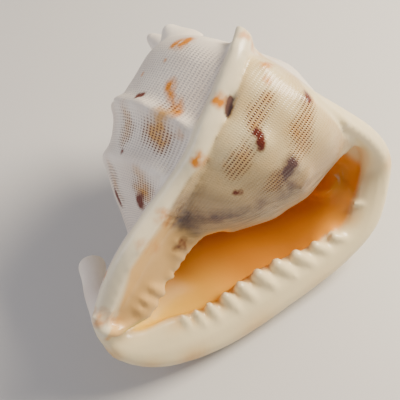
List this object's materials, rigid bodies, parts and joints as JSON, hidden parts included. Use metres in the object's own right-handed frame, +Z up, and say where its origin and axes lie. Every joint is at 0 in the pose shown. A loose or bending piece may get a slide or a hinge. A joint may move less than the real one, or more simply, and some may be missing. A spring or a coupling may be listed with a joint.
{
  "type": "helmet shell",
  "caption": "Large sea snail shell with a coiled knobbed body, a flat raised shield and a broad toothed lip round its long mouth, lying mouth up.",
  "frame": {"origin": "middle of the bounding box's underside, on the surface the shell lies on", "axes": "+X along the coil towards the spire end, the longest way; +Z up; the mouth faces -Y and up"},
  "size_m": [0.1554, 0.1358, 0.1291],
  "materials": {
    "shell": "cream shell (calcium carbonate), glossy glaze on lip and shield, matt on the coiled body"
  },
  "bodies": {
    "root": {"shell": "shell"}
  },
  "joints": []
}
